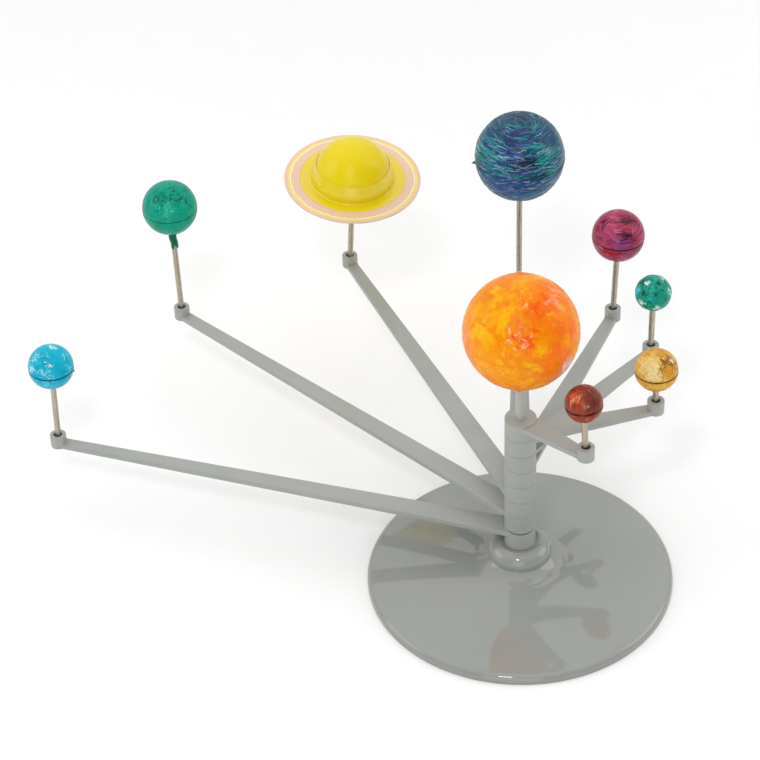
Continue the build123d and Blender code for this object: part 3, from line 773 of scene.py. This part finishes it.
def brush(stroke, unit, sway, look, radius):
    """One stroke at the points near it: how much it covers, its thickness from 0 to 1, and its colour."""
    east = np.cross([0, 0, 1], stroke.middle)
    east /= np.linalg.norm(east) + 1e-9
    north = np.cross(stroke.middle, east)
    heading = cos(stroke.turn) * east + sin(stroke.turn) * north
    side = np.cross(stroke.middle, heading)
    along = np.arctan2(unit @ heading, unit @ stroke.middle) * radius + sway[0]
    across = np.arcsin(np.clip(unit @ side, -1, 1)) * radius + sway[1] * min(1, stroke.width)
    across -= stroke.bow * 0.12 * along**2 / stroke.length
    hairs = np.stack([across / look.bristle, along / (9 * look.bristle), np.full(len(unit), 7.0)], axis=1)
    hair = 0.65 * noise(hairs, stroke.seed) + 0.35 * noise(hairs * (2.3, 1.5, 1), stroke.seed + 1)
    half = stroke.width / 2 * (0.85 + 0.3 * hair)
    end = stroke.length / 2 * (0.7 + 0.6 * hair)
    soft = min(look.soft, 0.45 * stroke.width)
    cover = smooth((half - np.abs(across)) / soft) * smooth((end - np.abs(along)) / (2.5 * soft))
    dry = (1 - stroke.wet) * (0.4 + 0.6 * smooth(along / stroke.length + 0.5))
    cover *= smooth((hair - dry) / 0.18 + 0.5) * look.opacity
    ridge = np.exp(-(((np.abs(across) - 0.8 * half) / (0.3 * soft + 0.1)) ** 2))
    body = stroke.lift * (0.35 + 0.65 * hair) + 0.25 * ridge
    tint = stroke.tint * (1 + 0.7 * look.streak * (hair - 0.5))[:, None]
    return cover, body, tint


def dress(unit, look, radius):
    """Lays the strokes on a ball one by one. unit holds each point's direction from the middle.
    Returns the colour and the thickness of the paint at each point, in millimetres."""
    clouds = noise(unit * radius / 4 + 50, look.seed)
    wander = [noise(unit * radius / 1.7 + offset, look.seed) - 0.5 for offset in (90, 130)]
    sway = look.warp * np.stack(wander)
    colour = linear(look.ground) * (1 + 0.2 * look.streak * (clouds - 0.5))[:, None]
    height = 0.25 * clouds
    for stroke in draw_strokes(look):
        reach = 0.7 * (stroke.length + stroke.width) / radius
        near = np.flatnonzero(unit @ stroke.middle > cos(min(pi, reach)))
        if len(near):
            cover, body, tint = brush(stroke, unit[near], sway[:, near], look, radius)
            colour[near] += (tint - colour[near]) * cover[:, None]
            height[near] += 0.7 * (body - height[near]) * cover
    return colour, np.clip(height, 0, 1) * look.relief


def ball_frame(axis):
    """Three columns: the ball's own x, y and z directions."""
    up = np.array(axis) / np.linalg.norm(axis)
    side = np.cross([0, 1, 0], up)
    side /= np.linalg.norm(side)
    return np.stack([side, np.cross(up, side), up], axis=1)


def in_place(points, centre, axis):
    """A ball's points moved from its own axes to the frame's, in millimetres."""
    return points @ ball_frame(axis).T + np.array(centre) / MM


def half_profiles(radius, pin, look):
    """The two halves' outlines as (radius, height), and which of their points are painted."""
    inner = radius - BALL_WALL
    bore = pin + BORE_GAP
    boss = bore + SOCKET_WALL
    lip_inner = inner - LIP_WALL
    socket_top = -ROD_STOP * radius + END_GAP
    bevel = look.groove
    seam = np.degrees(np.arcsin(bevel / radius))
    hole = -np.degrees(np.arccos(bore / radius))
    coarse = 4 * look.spacing
    outside = arc_points(radius, 90, seam, look.spacing)
    upper = [(0.0, radius)] + outside[1:]
    painted_upper = len(upper)
    upper += [(radius - bevel, HALVES_GAP), (inner, HALVES_GAP)]
    upper += arc_points(inner, 1, 90, coarse)[:-1] + [(0.0, inner)]
    lower = [(0.0, socket_top), (bore, socket_top)]
    first = len(lower)
    lower += arc_points(radius, hole, -seam, look.spacing)
    painted_lower = range(first, len(lower))
    lower += [
        (radius - bevel, -HALVES_GAP),
        (inner - LIP_GAP, -HALVES_GAP),
        (on_circle(inner, LIP_HEIGHT) - LIP_GAP, LIP_HEIGHT),
        (lip_inner, LIP_HEIGHT),
    ]
    from_angle = -np.degrees(np.arccos(lip_inner / inner))
    to_angle = -np.degrees(np.arccos(boss / inner))
    lower += arc_points(inner, from_angle, to_angle, coarse)
    lower += [(boss, socket_top + SOCKET_CAP), (0.0, socket_top + SOCKET_CAP)]
    return (upper, range(painted_upper)), (lower, painted_lower)


def paint_skin(outside, axis, look, radius, pin):
    """The paint on a ball's outside: its colour and its thickness in millimetres at each point."""
    unit = (outside / np.linalg.norm(outside, axis=1)[:, None]) @ ball_frame(axis).T
    colour, height = dress(unit, look, radius)
    from_axis = np.hypot(outside[:, 0], outside[:, 1])
    from_seam = np.abs(outside[:, 2]) - look.groove
    from_hole = np.where(outside[:, 2] < 0, from_axis - pin - BORE_GAP, radius)
    height = height * smooth(from_seam / SEAM_FADE + 0.25) * smooth(from_hole / HOLE_FADE)
    worn = smooth(0.35 + 1.6 * noise(unit * 1.6 + 9, look.seed))
    groove = (worn * smooth(1 - from_seam / (0.9 * look.groove + 0.12)))[:, None]
    colour = colour * (1 - groove) + linear(look.groove_colour) * groove
    for pip in look.pips:
        apart = np.linalg.norm(unit - towards(pip.azimuth, pip.elevation), axis=1) * radius
        height = height + pip.height * np.exp(-((apart / pip.radius) ** 2) * 2)
    return np.clip(colour, 0, 1), height


def make_ball(name, centre, axis, radius, pin):
    """The two painted halves of a ball, each a closed shell with real relief on its outside."""
    look = LOOKS[name]
    material = paint_material(f"{name}_painted", look)
    skin = radius - look.relief
    segments = 4 * round(2 * pi * radius / look.spacing / 4)
    halves = []
    for profile, painted in half_profiles(skin, pin, look):
        points, faces, source = lathe(profile, segments)
        halves.append((points, faces, np.isin(source, list(painted))))
    outside = np.vstack([points[mask] for points, _, mask in halves])
    colour, height = paint_skin(outside, axis, look, radius, pin)
    start = 0
    for side, (points, faces, mask) in zip(("upper", "lower"), halves):
        part = slice(start, start + int(mask.sum()))
        start = part.stop
        points[mask] *= 1 + (height[part] / skin)[:, None]
        paint = np.ones((len(points), 4))
        paint[:, :3] = linear(look.groove_colour)
        paint[mask, :3] = colour[part]
        attributes = {"paint": paint, "local": points}
        placed = in_place(points, centre, axis)
        piece = new_piece(
            f"{name}_{side}_shell", placed, faces, attributes, material, f"{name}_ball"
        )
        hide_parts(f"{name}_{side}_half")


def collar_profile(clear, foot, face):
    """The collar's bore from the foot up, then its outside down to the disc, as (radius, height)."""
    top = face + COLLAR_HEIGHT
    bore = [(on_circle(clear, z), z) for z in np.linspace(foot, top, 14)]
    outside = []
    for z in np.linspace(top, face + COLLAR_FILLET, 18):
        taper = float(smooth((top - z) / (0.8 * COLLAR_HEIGHT)))
        wall = COLLAR_TOP_WALL + (COLLAR_RADIUS - clear - COLLAR_INSET) * taper
        outside.append((on_circle(clear, z) + wall, z))
    root = outside[-1][0]
    fillet = []
    for a in np.linspace(0.2, pi / 2, 7):
        fillet.append((root + COLLAR_FILLET * (1 - cos(a)), face + COLLAR_FILLET * (1 - sin(a))))
    return [*bore, *outside, *fillet]


def disc_profile(start, foot, face):
    """The disc from the collar to its rim, with fine lines in the printed band, as (radius, height)."""
    disc = []
    for x in np.arange(start, RING_RADIUS - RING_EDGE, RING_POINT_PITCH):
        line = 0.0
        if x > PRINT_RADIUS + 0.3:
            line = RING_LINE_DEPTH * (0.5 + 0.5 * cos(2 * pi * x / RING_LINE_PITCH))
        printed = PRINT_DEPTH * float(smooth((x - PRINT_RADIUS) / 0.25))
        outer = OUTER_BAND_RISE * float(smooth((x - OUTER_BAND_RADIUS) / 0.3))
        disc.append((x, face - line - printed + outer - 0.01))
    for a in np.linspace(0.3, pi / 2, 4):
        disc.append((RING_RADIUS - RING_EDGE * (1 - sin(a)), face - 0.03 - RING_EDGE * (1 - cos(a))))
    return [*disc, (RING_RADIUS - 0.05, foot + 0.05), (RING_RADIUS - 0.12, foot)]


def make_ring(centre, axis, ball_radius):
    """Saturn's ring and its collar, with lines pressed into the disc."""
    face = -RING_BELOW_CENTRE
    foot = face - RING_THICKNESS
    collar = collar_profile(ball_radius + RING_GAP, foot, face)
    loop = collar + disc_profile(collar[-1][0] + 0.15, foot, face)
    points = turned(loop[::-1], RING_SEGMENTS)
    reach = np.hypot(points[:, 0], points[:, 1])
    wave = np.minimum((noise(points / 5 + 40, 5) - 0.5) * COLLAR_WAVE, COLLAR_WAVE / 2)
    on_collar = smooth(points[:, 2] - face - 0.5) * (reach > ball_radius + 0.4)
    points[:, :2] *= (1 + wave * on_collar / COLLAR_RADIUS)[:, None]
    faces = loop_faces(len(loop), RING_SEGMENTS)
    placed = in_place(points, centre, axis)
    ring = new_piece(
        "saturn_ring_banded", placed, faces, {"local": points}, ring_material(), "saturn_ball"
    )
    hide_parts("saturn_ring")


def make_drip(centre, axis, ball_radius):
    """Paint that ran down the top of Uranus's rod: an uneven sleeve under the ball."""
    top = -on_circle(ball_radius, ROD_RADIUS) - 0.05
    turn = np.linspace(0, 2 * pi, DRIP_SEGMENTS, endpoint=False)
    down = np.linspace(0, 1, DRIP_ROWS)[:, None]
    swell = 0.42 + 0.30 * np.sin(2.2 + 7 * down) * np.cos(turn - 0.4) + 0.25 * (1 - down) ** 2
    ragged = DRIP_LENGTH * (0.86 + 0.14 * np.cos(turn + 0.9) * np.cos(3 * turn))
    ends = smooth((1 - down) / 0.12) * smooth(down / 0.05 + 0.4)
    reach = ROD_RADIUS + 0.02 + np.maximum(DRIP_LEAST, swell) * ends
    skin = np.stack([reach * np.cos(turn), reach * np.sin(turn), top - down * ragged], axis=-1)
    bore = skin[[-1, 0]]
    bore[..., 0] = DRIP_BORE * np.cos(turn)
    bore[..., 1] = DRIP_BORE * np.sin(turn)
    points = np.vstack([skin.reshape(-1, 3), bore.reshape(-1, 3)])
    faces = loop_faces(DRIP_ROWS + len(bore), DRIP_SEGMENTS)
    paint = np.ones((len(points), 4))
    paint[:, :3] = linear("#05694c")
    material = paint_material("uranus_drip", LOOKS["uranus"]._replace(mottle=0.6))
    attributes = {"paint": paint, "local": points}
    placed = in_place(points, centre, axis)
    new_piece("uranus_paint_drip", placed, faces, attributes, material, "uranus_ball")


# --- Carried-over CAD nodes ----------------------------------------------------------------------


def clothe(node, material):
    """Gives a CAD node its material."""
    mesh = frame["nodes"][node].data
    mesh.materials.clear()
    mesh.materials.append(material)


# --- Studio --------------------------------------------------------------------------------------


def make_camera():
    """Looks down at the object from the front, a little off its middle and slightly rolled."""
    elevation, roll = radians(CAMERA_ELEVATION), radians(CAMERA_ROLL)
    place = CAMERA_DISTANCE * Vector((0, -cos(elevation), sin(elevation)))
    forward = -place.normalized()
    right = forward.cross(Vector((0, 0, 1))).normalized()
    up = right.cross(forward)
    forward = (forward + CAMERA_YAW * right + CAMERA_PITCH * up).normalized()
    right = forward.cross(Vector((0, 0, 1))).normalized()
    up = right.cross(forward)
    rolled_right = cos(roll) * right + sin(roll) * up
    rolled_up = cos(roll) * up - sin(roll) * right
    pose = Matrix((rolled_right, rolled_up, -forward)).transposed().to_4x4()
    pose.translation = place
    data = bpy.data.cameras.new("camera")
    data.lens = LENS_MM
    data.sensor_width = 36
    data.clip_start = 0.05
    camera = bpy.data.objects.new("camera", data)
    camera.matrix_world = pose
    bpy.context.scene.collection.objects.link(camera)
    bpy.context.scene.camera = camera


def make_lamp(lamp):
    """A square soft box that faces the middle of the object."""
    target = Vector(LIT_POINT)
    data = bpy.data.lights.new(lamp.name, "AREA")
    data.size = lamp.size
    data.energy = lamp.power
    box = bpy.data.objects.new(lamp.name, data)
    box.location = target + lamp.distance * Vector(towards(lamp.azimuth, lamp.elevation))
    box.rotation_euler = (target - box.location).to_track_quat("-Z", "Y").to_euler()
    bpy.context.scene.collection.objects.link(box)


def make_floor():
    """A wide sheet of near-white paper, just under the object."""
    reach = FLOOR_HALF_WIDTH
    corners = [(x * reach, y * reach, -FLOOR_DROP) for x, y in ((-1, -1), (1, -1), (1, 1), (-1, 1))]
    mesh = bpy.data.meshes.new("floor")
    mesh.from_pydata(corners, [], [(0, 1, 2, 3)])
    n = Nodes("floor_paper")
    place = n.add("ShaderNodeTexCoord").outputs["Object"]
    tone = n.mix(n.noise(place, 60, 3), (0.93, 0.93, 0.93), (0.96, 0.96, 0.96))
    mesh.materials.append(n.finish(Base_Color=tone, Roughness=0.9))
    floor = bpy.data.objects.new("floor", mesh)
    bpy.context.scene.collection.objects.link(floor)


def make_light():
    """A white room that glows most above and behind the object, and soft boxes round it."""
    world = bpy.data.worlds.new("studio")
    world.use_nodes = True
    tree = world.node_tree
    direction = tree.nodes.new("ShaderNodeTexCoord").outputs["Generated"]
    facing = tree.nodes.new("ShaderNodeVectorMath")
    facing.operation = "DOT_PRODUCT"
    facing.inputs[1].default_value = towards(*GLOW_DIRECTION)
    glow = tree.nodes.new("ShaderNodeMapRange")
    glow.interpolation_type = "SMOOTHSTEP"
    for key, value in enumerate((GLOW_START, 1.0, ROOM_STRENGTH, GLOW_STRENGTH), 1):
        glow.inputs[key].default_value = value
    background = tree.nodes["Background"]
    background.inputs["Color"].default_value = (1, 1, 1, 1)
    tree.links.new(direction, facing.inputs[0])
    tree.links.new(facing.outputs["Value"], glow.inputs[0])
    tree.links.new(glow.outputs["Result"], background.inputs["Strength"])
    bpy.context.scene.world = world
    for lamp in LAMPS:
        make_lamp(lamp)
    bpy.context.scene.view_settings.view_transform = "Standard"


# --- Assembly ------------------------------------------------------------------------------------


def ball_facts(name):
    """A ball's centre and spin axis from its joint, and its radius in millimetres from its box."""
    joint = next(j for j in frame["joints"] if j["name"] == f"{name}_spin")
    low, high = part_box(f"{name}_upper_half")
    return Vector(joint["pos_m"]), Vector(joint["axis"]), round((high.x - low.x) / 2 / MM, 1)


make_camera()
make_light()
make_floor()

for name in ["sun", *PLANETS]:
    centre, axis, radius = ball_facts(name)
    make_ball(name, centre, axis, radius, POST_RADIUS if name == "sun" else ROD_RADIUS)
    if name == "saturn":
        make_ring(centre, axis, radius)
    if name == "uranus":
        make_drip(centre, axis, radius)

arm_plastic = moulded_material("arm_moulded", "#9fa29d", 0.42)
steel = steel_material()
clothe("base_dish", gloss_base_material())
clothe("centre_post", moulded_material("post_moulded", "#aeb1ac", 0.36))
for name in PLANETS:
    clothe(f"{name}_arm", arm_plastic)
    clothe(f"{name}_rod", steel)
